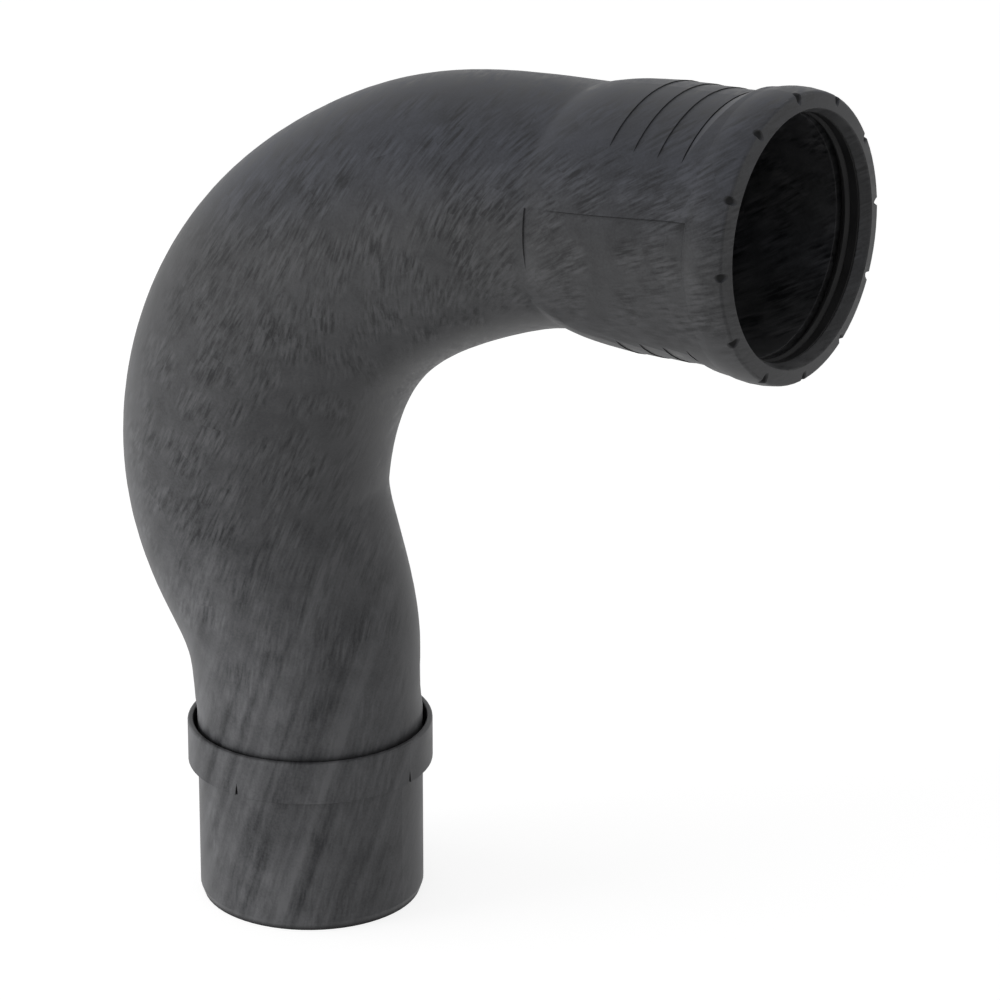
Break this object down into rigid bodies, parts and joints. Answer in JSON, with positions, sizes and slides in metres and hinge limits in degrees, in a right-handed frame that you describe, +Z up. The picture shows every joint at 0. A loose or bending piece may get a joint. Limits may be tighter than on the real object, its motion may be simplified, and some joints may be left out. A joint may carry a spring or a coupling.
{
  "type": "drain pipe bend",
  "caption": "Swept 87.5 degree drain pipe bend with a swollen back, a plain spigot with a stop collar, and a push-fit socket with a lip seal.",
  "frame": {"origin": "on the spigot's axis, in the plane of the stop collar's lower face, where the spigot seats on another socket's rim", "axes": "+Z up along the spigot's axis, from its end to the collar; +X across to the socket, which opens towards +X and 2.5 degrees upwards; the bend is symmetric about the XZ plane apart from its marking field"},
  "size_m": [0.3728, 0.1344, 0.4547],
  "materials": {
    "moulded_plastic": "satin, faintly streaked charcoal grey mineral-filled polypropylene",
    "seal_rubber": "matt black rubber"
  },
  "bodies": {
    "root": {"bend_body": "moulded_plastic", "lip_seal": "seal_rubber"}
  },
  "joints": []
}
